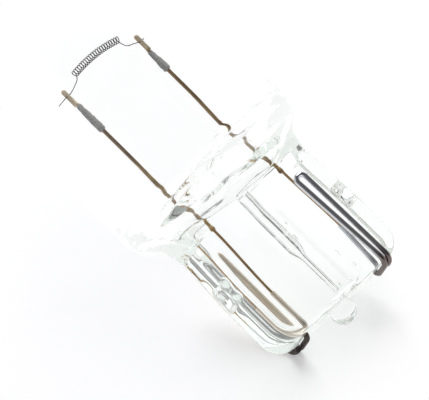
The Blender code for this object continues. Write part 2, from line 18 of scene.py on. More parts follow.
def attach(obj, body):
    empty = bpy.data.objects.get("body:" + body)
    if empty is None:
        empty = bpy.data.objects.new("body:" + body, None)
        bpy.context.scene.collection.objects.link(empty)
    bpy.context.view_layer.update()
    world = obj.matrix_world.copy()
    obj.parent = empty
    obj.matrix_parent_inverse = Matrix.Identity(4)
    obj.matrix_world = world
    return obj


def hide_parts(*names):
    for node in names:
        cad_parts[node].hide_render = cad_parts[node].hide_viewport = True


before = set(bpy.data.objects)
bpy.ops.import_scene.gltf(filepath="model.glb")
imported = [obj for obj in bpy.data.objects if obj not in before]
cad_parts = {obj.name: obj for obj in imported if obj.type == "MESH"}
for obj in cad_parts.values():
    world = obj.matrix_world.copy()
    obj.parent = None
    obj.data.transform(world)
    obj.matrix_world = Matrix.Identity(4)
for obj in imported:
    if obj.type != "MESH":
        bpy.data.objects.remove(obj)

MM = 0.001
BODY = "root"
WHITE = "#FFFFFF"
MIX_FROM, MIX_TO = 6, 7  # the two colour inputs of a Mix node, whose names also stand for others
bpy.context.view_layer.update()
LOG = logging.getLogger("reversing_lamp")

Item, Material, Mesh = bpy.types.Object, bpy.types.Material, bpy.types.Mesh
Tree, Node, Socket = bpy.types.NodeTree, bpy.types.Node, bpy.types.NodeSocket
Pair = tuple[float, float]
Triple = tuple[float, float, float]
Ring = list[Vector]
SizeAt = Callable[[Vector], Pair]


class Side(Enum):
    """The two sides of the lamp, seen from the front with the dome up."""

    LEFT = -1
    RIGHT = 1

    def pick(self, pair: Sequence[Any]) -> Any:
        """Its own of a left and a right value."""
        return pair[self is Side.RIGHT]

    def word(self) -> str:
        """Its word in the name of a piece."""
        return self.name.lower()


class Light(Enum):
    """Which rays a backdrop answers with its plain white."""

    SEEN = "Is Camera Ray"
    MIRRORED = "Is Glossy Ray"
    THROUGH_GLASS = "Is Transmission Ray"


# Numbers and colours

def mix(first: float, second: float, share: float) -> float:
    """The value at a share of the way from first to second."""
    return first + (second - first) * share


def smooth_step(value: float, low: float, high: float) -> float:
    """An even curve that leaves 0 at the low value and reaches 1 at the high one."""
    share = min(max((value - low) / (high - low), 0.0), 1.0)
    return share * share * (3.0 - 2.0 * share)


def band(value: float, rise: Sequence[float], fall: Sequence[float]) -> float:
    """1 between two slopes and 0 outside them, each slope given by its two ends."""
    return smooth_step(value, *rise) * (1.0 - smooth_step(value, *fall))


def stairs(first: float, *flights: tuple[float, int]) -> list[float]:
    """Heights that climb in flights of even steps.

    Args:
        first: the lowest height.
        flights: where each flight ends, and its number of steps.

    Returns:
        All heights, with both ends.
    """
    heights = [first]
    for high, count in flights:
        low = heights[-1]
        heights += [mix(low, high, step / count) for step in range(1, count + 1)]
    return heights


def linear(hex_code: str) -> tuple[float, float, float, float]:
    """The linear colour, with an alpha of 1, of an sRGB one in hex digits after a hash sign."""
    parts = [int(hex_code[i:i + 2], 16) / 255.0 for i in (1, 3, 5)]
    return (*(p / 12.92 if p <= 0.04045 else ((p + 0.055) / 1.055) ** 2.4 for p in parts), 1.0)


# Pose

@dataclass(frozen=True)
class RestingPose:
    """How the lamp lies: on the back contact wire, the base end and the shoulder, dome towards -X."""

    down: Triple = (0.0553469, 0.9193442, -0.3895418)
    place: Triple = (18.97992 * MM, 0.0, 2.53439 * MM)

    def matrix(self) -> Matrix:
        """The way to lay the lamp down.

        Returns:
            The turn and move from the lamp's own axes to the table's.
        """
        down = Vector(self.down).normalized()
        dome = Vector((0.0, 0.0, 1.0))
        ahead = (dome - down * dome.dot(down)).normalized()
        turn = Matrix((-ahead, ahead.cross(-down), -down)).to_4x4()
        return Matrix.Translation(self.place) @ turn


POSE = RestingPose()


# Node trees

def add_node(tree: Tree, kind: str, inputs: dict | None = None, **settings: object) -> Node:
    """Adds a node with its settings, and fills or links its inputs.

    Args:
        tree: the tree to add to.
        kind: the node's type name.
        inputs: input name or number to a value, or to a socket or a node, whose first output in use is linked.
        settings: properties of the node itself.

    Returns:
        The new node.
    """
    node = tree.nodes.new(kind)
    for name, value in settings.items():
        setattr(node, name, value)
    for name, value in (inputs or {}).items():
        if isinstance(value, Node):
            value = next(outlet for outlet in value.outputs if outlet.enabled)
        if isinstance(value, Socket):
            tree.links.new(value, node.inputs[name])
        else:
            node.inputs[name].default_value = value
    return node


def lamp_axes(tree: Tree) -> Node:
    """Turns object coordinates back into the lamp's own axes, in metres.

    Args:
        tree: the material's tree.

    Returns:
        The node that gives the place.
    """
    place, back = add_node(tree, "ShaderNodeTexCoord").outputs["Object"], POSE.matrix().inverted()
    return add_node(tree, "ShaderNodeMapping", {
        "Vector": place, "Location": back.to_translation(), "Rotation": back.to_euler("XYZ")})


def new_material(name: str) -> tuple[Material, Tree]:
    """An empty material.

    Args:
        name: the finish's plain name.

    Returns:
        The material and its tree.
    """
    material = bpy.data.materials.new(name)
    material.use_nodes = True
    material.node_tree.nodes.clear()
    return material, material.node_tree


def set_stops(ramp: bpy.types.ColorRamp, stops: Sequence[tuple[float, str]]) -> None:
    """Gives a colour ramp its stops.

    Args:
        ramp: the ramp of a node.
        stops: pairs of position and hex colour.
    """
    while len(ramp.elements) < len(stops):
        ramp.elements.new(0.5)
    for element, (position, colour) in zip(ramp.elements, stops):
        element.position = position
        element.color = linear(colour)


# Finishes

@dataclass(frozen=True)
class PressedClearGlass:
    """Soda-lime glass, blown for the envelope and pressed hot for the base: clear, faintly green in depth."""

    ior: float = 1.52
    depth_colour: str = "#A6D8B4"
    depth_per_metre: float = 11.0
    thin_passes: str = "#FDFDFE"
    thick_passes: str = "#FAFAF9"
    thick_to: Pair = (11.0 * MM, 15.0 * MM)
    mirrored_turns: float = 2.5
    # strength of the painted white glow that ends rays after many bounces inside the glass
    painted_glow_strength: float = 0.93
    chill_middle: float = 15.6 * MM
    chill_reach: float = 3.4 * MM
    chill_fade: float = 0.6
    chill_grain: float = 1.1 * MM
    chill_stretch: Triple = (0.17, 0.17, 1.0)
    chill_depth: float = 0.34 * MM

    def material(self) -> Material:
        """Clear glass whose long paths turn green, and that glows with a painted plain white after many bounces inside;
        lamps shine through it onto the table.

        Returns:
            The material.
        """
        material, tree = new_material("pressed clear glass")
        place = lamp_axes(tree)
        height = add_node(tree, "ShaderNodeSeparateXYZ", {"Vector": place}).outputs["Z"]
        # Chill wrinkles: where the press gripped the soft envelope, folds run round the shoulder
        above = add_node(tree, "ShaderNodeMath", {0: height, 1: self.chill_middle}, operation="SUBTRACT")
        away = add_node(tree, "ShaderNodeMath", {0: above}, operation="ABSOLUTE")
        gripped = add_node(tree, "ShaderNodeMapRange", {
            "Value": away, "From Min": self.chill_reach, "From Max": self.chill_reach * self.chill_fade})
        around = add_node(tree, "ShaderNodeMapping", {"Vector": place, "Scale": self.chill_stretch})
        wrinkles = add_node(tree, "ShaderNodeTexNoise", {
            "Vector": around, "Scale": 1.0 / self.chill_grain, "Detail": 1.0})
        folds = add_node(tree, "ShaderNodeMath", {0: wrinkles, 1: gripped}, operation="MULTIPLY")
        bump = add_node(tree, "ShaderNodeBump", {"Height": folds, "Strength": 1.0, "Distance": self.chill_depth})
        glass = add_node(tree, "ShaderNodeBsdfPrincipled", {
            "Base Color": linear(WHITE), "Roughness": 0.0, "IOR": self.ior, "Transmission Weight": 1.0, "Normal": bump})
        rays = add_node(tree, "ShaderNodeLightPath").outputs
        # The even light of the room comes round the lamp from all sides, so only the lamps' light is dimmed
        thin = add_node(tree, "ShaderNodeMapRange", {
            "Value": height, "From Min": self.thick_to[0], "From Max": self.thick_to[1]})
        passed = add_node(tree, "ShaderNodeMix", {
            "Factor": thin, MIX_FROM: linear(self.thick_passes), MIX_TO: linear(self.thin_passes)}, data_type="RGBA")
        shade = add_node(tree, "ShaderNodeMix", {
            "Factor": rays["Is Shadow Ray"], MIX_FROM: linear(WHITE), MIX_TO: passed}, data_type="RGBA")
        open_way = add_node(tree, "ShaderNodeBsdfTransparent", {"Color": shade})
        # Painted light: rays thrown to and fro inside the glass more than a few times end in a plain white glow, in
        # place of the white room they would meet
        often = add_node(tree, "ShaderNodeMath", {
            0: rays["Glossy Depth"], 1: self.mirrored_turns}, operation="GREATER_THAN")
        glow = add_node(tree, "ShaderNodeEmission", {"Strength": self.painted_glow_strength})
        glass_with_painted_glow = add_node(tree, "ShaderNodeMixShader", {"Fac": often, 1: glass, 2: glow})
        lighting = add_node(tree, "ShaderNodeMath", {
            0: rays["Is Shadow Ray"], 1: rays["Is Diffuse Ray"]}, operation="MAXIMUM")
        surface = add_node(tree, "ShaderNodeMixShader", {"Fac": lighting, 1: glass_with_painted_glow, 2: open_way})
        depth = add_node(tree, "ShaderNodeVolumeAbsorption", {
            "Color": linear(self.depth_colour), "Density": self.depth_per_metre})
        add_node(tree, "ShaderNodeOutputMaterial", {"Surface": surface, "Volume": depth})
        return material


@dataclass(frozen=True)
class DrawnWire:
    """A bright drawn wire whose surface has been heated: a metal with a thin stained film."""

    name: str
    stops: tuple[tuple[float, str], ...]
    patch: float
    roughness: Pair
    painted_end_light: str = ""
    painted_end_reach: Pair = (0.0, 1.6 * MM)
    patch_stretch: Triple = (1.0, 1.0, 0.35)
    mark: float = 0.04 * MM
    mark_stretch: Triple = (1.0, 1.0, 0.08)
    mark_depth: float = 0.004 * MM
    mark_strength: float = 0.25

    def material(self) -> Material:
        """Stains in patches, painted light at one end where it is given, and fine drawing marks that break up the
        shine.

        Returns:
            The material.
        """
        material, tree = new_material(self.name)
        place = lamp_axes(tree)
        # Heat stain: patches a few times longer along the lamp than across it
        drawn = add_node(tree, "ShaderNodeMapping", {"Vector": place, "Scale": self.patch_stretch})
        stain = add_node(tree, "ShaderNodeTexNoise", {
            "Vector": drawn, "Scale": 1.0 / self.patch, "Detail": 4.0, "Roughness": 0.6})
        colour = add_node(tree, "ShaderNodeValToRGB", {"Fac": stain})
        set_stops(colour.color_ramp, self.stops)
        if self.painted_end_light:
            # Painted light at one end of the wire: painted shade where the contact wires bend round the base end onto
            # the table, and a painted highlight on the flattened hooks of the supports
            height = add_node(tree, "ShaderNodeSeparateXYZ", {"Vector": place}).outputs["Z"]
            share = add_node(tree, "ShaderNodeMapRange", {
                "Value": height, "From Min": self.painted_end_reach[0], "From Max": self.painted_end_reach[1]})
            colour = add_node(tree, "ShaderNodeMix", {
                "Factor": share, MIX_FROM: linear(self.painted_end_light), MIX_TO: colour}, data_type="RGBA")
        # Drawing marks: the wire's die leaves lines along it, drawn coarser than life
        lines = add_node(tree, "ShaderNodeMapping", {"Vector": place, "Scale": self.mark_stretch})
        marks = add_node(tree, "ShaderNodeTexNoise", {"Vector": lines, "Scale": 1.0 / self.mark, "Detail": 2.0})
        rough = add_node(tree, "ShaderNodeMapRange", {
            "Value": marks, "To Min": self.roughness[0], "To Max": self.roughness[1]})
        bump = add_node(tree, "ShaderNodeBump", {
            "Height": marks, "Strength": self.mark_strength, "Distance": self.mark_depth})
        metal = add_node(tree, "ShaderNodeBsdfPrincipled", {
            "Base Color": colour, "Metallic": 1.0, "Roughness": rough, "Normal": bump})
        add_node(tree, "ShaderNodeOutputMaterial", {"Surface": metal})
        return material


@dataclass(frozen=True)
class GetterPaint:
    """Getter powder brushed on wet and dried: a matt grey crust with paler grains."""

    stops: tuple[tuple[float, str], ...] = ((0.30, "#82807D"), (0.52, "#B0AFAC"), (0.72, "#E2E2DF"))
    grit: float = 0.12 * MM
    grit_depth: float = 0.05 * MM
    grit_strength: float = 0.9
    roughness: float = 0.92
    ior: float = 1.6

    def material(self) -> Material:
        """Coarse grains, as the real ones are too fine to show.

        Returns:
            The material.
        """
        material, tree = new_material("dried getter paint")
        grit = add_node(tree, "ShaderNodeTexNoise", {
            "Vector": lamp_axes(tree), "Scale": 1.0 / self.grit, "Detail": 5.0, "Roughness": 0.65})
        colour = add_node(tree, "ShaderNodeValToRGB", {"Fac": grit})
        set_stops(colour.color_ramp, self.stops)
        bump = add_node(tree, "ShaderNodeBump", {
            "Height": grit, "Strength": self.grit_strength, "Distance": self.grit_depth})
        paint = add_node(tree, "ShaderNodeBsdfPrincipled", {
            "Base Color": colour, "Roughness": self.roughness, "IOR": self.ior, "Normal": bump})
        add_node(tree, "ShaderNodeOutputMaterial", {"Surface": paint})
        return material


@dataclass(frozen=True)
class TableTop:
    """A white laminate table top, as plain as paper, that keeps the lamp's soft shadow."""

    colour: str = "#F4F4F6"
    lift: float = 0.31
    lift_in_glass: float = 0.43

    def material(self) -> Material:
        """Matt white, lifted to plain white where it is seen, mirrored or seen through glass.

        Returns:
            The material.
        """
        material, tree = new_material("white laminate")
        rays = add_node(tree, "ShaderNodeLightPath").outputs
        shone = add_node(tree, "ShaderNodeMath", {
            0: rays[Light.MIRRORED.value], 1: rays[Light.THROUGH_GLASS.value]}, operation="MAXIMUM")
        strength: object = 0.0
        for share, lift in ((rays[Light.SEEN.value], self.lift), (shone, self.lift_in_glass)):
            strength = add_node(tree, "ShaderNodeMath", {0: share, 1: lift, 2: strength}, operation="MULTIPLY_ADD")
        glow = add_node(tree, "ShaderNodeEmission", {"Strength": strength})
        laminate = add_node(tree, "ShaderNodeBsdfDiffuse", {"Color": linear(self.colour)})
        both = add_node(tree, "ShaderNodeAddShader", {0: laminate, 1: glow})
        add_node(tree, "ShaderNodeOutputMaterial", {"Surface": both})
        return material


CONTACT_FINISH = DrawnWire(
    "heat-darkened nickel-plated wire",
    ((0.30, "#D6D2D0"), (0.55, "#DEDEE4"), (0.75, "#E0E4F0")),
    patch=1.4 * MM, roughness=(0.05, 0.14), painted_end_light="#6E6460")  # painted shade at the bends round the base end, where the wire lies against the table
# The back contact is the same wire as the front one; its warmer colours are a painted reflection, for how it shows
# through the glass
BACK_FINISH = DrawnWire(
    "straw-tinted nickel-plated wire",
    ((0.30, "#E6D6C4"), (0.55, "#EEE2D4"), (0.75, "#F4ECE2")),
    patch=1.4 * MM, roughness=(0.38, 0.5), painted_end_light="#4A4240")  # painted shade at the bends round the base end, where the wire lies against the table
SUPPORT_FINISH = DrawnWire(
    "heat-tinted nickel-iron wire",
    ((0.30, "#7C644C"), (0.52, "#9C8260"), (0.72, "#C2A97E")),
    patch=0.7 * MM, roughness=(0.25, 0.45),
    painted_end_light="#DACAB2", painted_end_reach=(29.6 * MM, 29.2 * MM))  # the hooks, pressed flat, given a painted highlight in pale cream
SEAL_FINISH = DrawnWire(
    "oxidised copper-clad wire",
    ((0.30, "#9C8060"), (0.55, "#B69674"), (0.75, "#CCB492")),
    patch=0.6 * MM, roughness=(0.25, 0.4))
FILAMENT_FINISH = DrawnWire(
    "drawn tungsten wire",
    ((0.30, "#322F2E"), (0.55, "#454240"), (0.75, "#5C5855")),
    patch=0.5 * MM, roughness=(0.3, 0.45))


# Meshes

def add_shell(body: bmesh.types.BMesh, rings: Sequence[Ring], flip: bool) -> None:
    """Adds a closed skin through rings of points; a ring of one point is a pole.

    Args:
        body: the mesh in the making.
        rings: from one end to the other, each turning the same way.
        flip: turns the skin to face its inside, for the wall of a hollow.
    """
    levels = [[body.verts.new(point) for point in ring] for ring in rings]
    faces = []
    for lower, upper in zip(levels, levels[1:]):
        count = max(len(lower), len(upper))
        for index in range(count):
            after = (index + 1) % count
            around = ((lower, index), (lower, after), (upper, after), (upper, index))
            corners = dict.fromkeys(row[place % len(row)] for row, place in around)  # a pole counts once
            faces.append(body.faces.new(list(corners)))
    faces += [body.faces.new(end) for end in (levels[0], levels[-1]) if len(end) > 1]
    bmesh.ops.recalc_face_normals(body, faces=faces)
    if flip:
        bmesh.ops.reverse_faces(body, faces=faces)


def closed_mesh(name: str, skins: Sequence[Sequence[Ring]], sharp_degrees: float) -> Mesh:
    """A smooth-shaded mesh of closed skins, still in the lamp's own axes.

    Args:
        name: the mesh's name.
        skins: each a row of rings; all but the first are walls of hollows.
        sharp_degrees: edges that turn more than this stay sharp.

    Returns:
        The mesh.
    """
    body = bmesh.new()
    for index, rings in enumerate(skins):
        add_shell(body, rings, flip=index > 0)
    mesh = bpy.data.meshes.new(name)
    body.to_mesh(mesh)
    body.free()
    mesh.shade_smooth()
    mesh.set_sharp_from_angle(angle=radians(sharp_degrees))
    return mesh


def circle(radius: float, height: float, count: int, centre_x: float = 0.0) -> Ring:
    """A level ring of points; with no radius and a count of 1 it is a pole."""
    turns = [2.0 * pi * step / count for step in range(count)]
    return [Vector((centre_x + radius * cos(t), radius * sin(t), height)) for t in turns]


def fillet(corners: Sequence[Vector], radii: Sequence[float], steps: int) -> list[Vector]:
    """Rounds the inner corners of a bent line.

    Args:
        corners: the line's points.
        radii: one radius for each inner corner.
        steps: points on each bend.

    Returns:
        The rounded line.
    """
    path = [corners[0]]
    for before, corner, after, radius in zip(corners, corners[1:], corners[2:], radii):
        back = (before - corner).normalized()
        ahead = (after - corner).normalized()
        half_angle = back.angle(ahead) / 2.0
        reach = radius / tan(half_angle)
        centre = corner + (back + ahead).normalized() * (radius / sin(half_angle))
        start = corner + back * reach - centre
        end = corner + ahead * reach - centre
        whole = start.angle(end)
        for step in range(steps + 1):
            share = step / steps
            weighted = start * sin((1.0 - share) * whole) + end * sin(share * whole)
            path.append(centre + weighted / sin(whole))
    path.append(corners[-1])
    return path


def without_doubles(path: Sequence[Vector], least: float = 0.002 * MM) -> list[Vector]:
    """The path without points that repeat the one before."""
    return [path[0]] + [after for before, after in zip(path, path[1:]) if (after - before).length > least]


def smooth_curve(points: Sequence[Vector], steps: int) -> list[Vector]:
    """A smooth curve through all the points.

    Args:
        points: at least two points.
        steps: pieces between each pair.

    Returns:
        The curve's points.
    """
    padded = [points[0] * 2.0 - points[1], *points, points[-1] * 2.0 - points[-2]]
    curve = []
    for p0, p1, p2, p3 in zip(padded, padded[1:], padded[2:], padded[3:]):
        for step in range(steps):
            t = step / steps
            linear_part = p1 * 2.0 + (p2 - p0) * t
            square_part = (p0 * 2.0 - p1 * 5.0 + p2 * 4.0 - p3) * t * t
            cubic_part = (p1 * 3.0 - p0 - p2 * 3.0 + p3) * t * t * t
            curve.append((linear_part + square_part + cubic_part) * 0.5)
    return curve + [points[-1]]


def sweep(path: Sequence[Vector], size_at: SizeAt, sides: int) -> list[Ring]:
    """Rings along a path, for a wire whose section changes.

    Args:
        path: the middle line.
        size_at: gives the half width and half depth at a point.
        sides: points on each ring.

    Returns:
        The rings, from one end to the other.
    """
    path = without_doubles(path)
    turns = [2.0 * pi * (step + 0.5) / sides for step in range(sides)]
    side = Vector((1.0, 0.0, 0.0))
    rings = []
    for before, point, after in zip([path[0], *path], path, [*path[1:], path[-1]]):
        ahead = (after - before).normalized()
        side = (side - ahead * side.dot(ahead)).normalized()
        depth = ahead.cross(side)
        half_width, half_depth = size_at(point)
        rings.append([point + side * (half_width * cos(t)) + depth * (half_depth * sin(t)) for t in turns])
    return rings


def place_item(name: str, data: bpy.types.ID) -> Item:
    """An object in the scene, for a mesh, curve, light or camera.

    Args:
        name: the object's name.
        data: what it shows.

    Returns:
        The linked object.
    """
    item = bpy.data.objects.new(name, data)
    bpy.context.collection.objects.link(item)
    return item


def path_curve(name: str, lines: Sequence[Sequence[Vector]],
               swell: Callable[[Vector], float] | None = None) -> Item:
    """A curve object through plain lines of points.

    Args:
        name: the object's name.
        lines: one list of points for each spline.
        swell: how much thicker the wire is at a point, where it changes.

    Returns:
        The linked curve object.
    """
    curve = bpy.data.curves.new(name, "CURVE")
    curve.dimensions = "3D"
    for line in map(without_doubles, lines):
        spline = curve.splines.new("POLY")
        spline.points.add(len(line) - 1)
        for target, point in zip(spline.points, line):
            target.co = (*point, 1.0)
            target.radius = swell(point) if swell else 1.0
    return place_item(name, curve)


def show_piece(name: str, mesh: Mesh, material: Material, slot: str, *nodes: str) -> None:
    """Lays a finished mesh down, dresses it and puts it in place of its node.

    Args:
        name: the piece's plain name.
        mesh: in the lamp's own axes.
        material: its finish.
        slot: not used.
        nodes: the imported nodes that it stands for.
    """
    mesh.transform(POSE.matrix())
    mesh.materials.clear()
    mesh.materials.append(material)
    piece = place_item(name, mesh)
    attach(piece, BODY)
    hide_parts(*nodes)
    LOG.info("%s: %d faces, in place of %s", name, len(mesh.polygons), ", ".join(nodes))


# Geometry Nodes

@dataclass
class WireTree:
    """A Geometry Nodes tree with named inputs that draws round wire along curves."""

    name: str
    tree: Tree = field(init=False)
    start: Node = field(init=False)

    def __post_init__(self) -> None:
        """Opens the tree with its geometry input and output."""
        self.tree = bpy.data.node_groups.new(self.name, "GeometryNodeTree")
        for way in ("INPUT", "OUTPUT"):
            self.tree.interface.new_socket("Geometry", in_out=way, socket_type="NodeSocketGeometry")
        self.start = self.tree.nodes.new("NodeGroupInput")

    def ask(self, kinds: dict[str, str]) -> list[Socket]:
        """Adds named inputs.

        Args:
            kinds: what the modifier shows, to the kind of socket.

        Returns:
            The sockets inside the tree.
        """
        for name, kind in kinds.items():
            self.tree.interface.new_socket(name, in_out="INPUT", socket_type="NodeSocket" + kind)
        return [self.start.outputs[name] for name in kinds]

    def close(self, curves: Node) -> "WireTree":
        """Draws a wire with flat cut ends along each spline, realizes, smooths and dresses it.

        Args:
            curves: the wire's middle lines.

        Returns:
            The finished tree.
        """
        diameter, sides, finish = self.ask({"Wire diameter": "Float", "Sides": "Int", "Finish": "Material"})
        radius = add_node(self.tree, "ShaderNodeMath", {0: diameter, 1: 0.5}, operation="MULTIPLY")
        section = add_node(self.tree, "GeometryNodeCurvePrimitiveCircle", {"Resolution": sides, "Radius": radius})
        wire = add_node(self.tree, "GeometryNodeCurveToMesh", {
            "Curve": curves, "Profile Curve": section, "Fill Caps": True})
        real = add_node(self.tree, "GeometryNodeRealizeInstances", {"Geometry": wire})
        smooth = add_node(self.tree, "GeometryNodeSetShadeSmooth", {"Geometry": real})
        dressed = add_node(self.tree, "GeometryNodeSetMaterial", {"Geometry": smooth, "Material": finish})
        add_node(self.tree, "NodeGroupOutput", {0: dressed})
        return self

    def grow(self, item: Item, values: dict[str, object]) -> Mesh:
        """Runs the tree on an object and returns its result as a plain mesh.

        Args:
            item: the object, which is removed afterwards.
            values: a value for each named input.

        Returns:
            The mesh, in the lamp's own axes.
        """
        modifier = item.modifiers.new(self.name, "NODES")
        modifier.node_group = self.tree
        for socket in self.tree.interface.items_tree:
            if socket.item_type == "SOCKET" and socket.in_out == "INPUT" and socket.name in values:
                modifier[socket.identifier] = values[socket.name]
        item.update_tag()
        bpy.context.view_layer.update()
        depsgraph = bpy.context.evaluated_depsgraph_get()
        mesh = bpy.data.meshes.new_from_object(item.evaluated_get(depsgraph), depsgraph=depsgraph)
        item.modifiers.remove(modifier)
        bpy.data.objects.remove(item, do_unlink=True)
        return mesh


def path_tree() -> WireTree:
    """A wire along each spline of a curve."""
    maker = WireTree("round wire along a path")
    return maker.close(maker.start)


def coil_tree() -> WireTree:
    """An arched coil wound between two legs, all one wire.

    Returns:
        The tree, which runs on the legs' curve.
    """
    maker = WireTree("coil wound along an arch")
    kinds = {"Turns": "Float", "Steps per turn": "Int", "Coil length": "Float", "Winding radius": "Float",
             "Arch height": "Float", "First angle": "Float", "Middle": "Vector"}
    value: dict[object, object] = dict(zip(kinds, maker.ask(kinds)))
    tree = maker.tree
    value["share"] = add_node(tree, "GeometryNodeSplineParameter").outputs["Factor"]
    # The winding's middle runs along a parabola, and the turns stand square to its slope
    for name, operation, first, second in (
            ("steps", "MULTIPLY", "Turns", "Steps per turn"),
            ("points", "ADD", "steps", 1.0),
            ("turned", "MULTIPLY", "Turns", "share"),
            ("circled", "MULTIPLY", "turned", 2.0 * pi),
            ("angle", "ADD", "First angle", "circled"),
            ("cosine", "COSINE", "angle", 0.0),
            ("sine", "SINE", "angle", 0.0),
            ("outwards", "MULTIPLY", "Winding radius", "cosine"),
            ("across", "MULTIPLY", "Winding radius", "sine"),
            ("from middle", "SUBTRACT", "share", 0.5),
            ("along", "MULTIPLY", "from middle", "Coil length"),
            ("left", "SUBTRACT", 1.0, "share"),
            ("bow", "MULTIPLY", "share", "left"),
            ("high bow", "MULTIPLY", "bow", 4.0),
            ("height", "MULTIPLY", "Arch height", "high bow"),
            ("fall", "MULTIPLY", "from middle", 8.0),
            ("high fall", "MULTIPLY", "fall", "Arch height"),
            ("lean", "DIVIDE", "high fall", "Coil length")):
        value[name] = add_node(tree, "ShaderNodeMath", {
            0: value.get(first, first), 1: value.get(second, second)}, operation=operation)
    line = add_node(tree, "GeometryNodeCurvePrimitiveLine", {"End": (1.0, 0.0, 0.0)})
    points = add_node(tree, "GeometryNodeResampleCurve", {"Curve": line, "Count": value["points"]})
    square = add_node(tree, "ShaderNodeCombineXYZ", {"X": value["lean"], "Y": 0.0, "Z": 1.0})
    out = add_node(tree, "ShaderNodeVectorMath", {0: square}, operation="NORMALIZE")
    lifted = add_node(tree, "ShaderNodeVectorMath", {0: out, "Scale": value["outwards"]}, operation="SCALE")
    core = add_node(tree, "ShaderNodeCombineXYZ", {"X": value["along"], "Y": value["across"], "Z": value["height"]})
    wound = add_node(tree, "ShaderNodeVectorMath", {0: core, 1: lifted}, operation="ADD")
    placed = add_node(tree, "ShaderNodeVectorMath", {0: wound, 1: value["Middle"]}, operation="ADD")
    coil = add_node(tree, "GeometryNodeSetPosition", {"Geometry": points, "Position": placed})
    both = add_node(tree, "GeometryNodeJoinGeometry")
    for part in (maker.start, coil):
        tree.links.new(part.outputs[0], both.inputs[0])
    return maker.close(both)


# Lamp

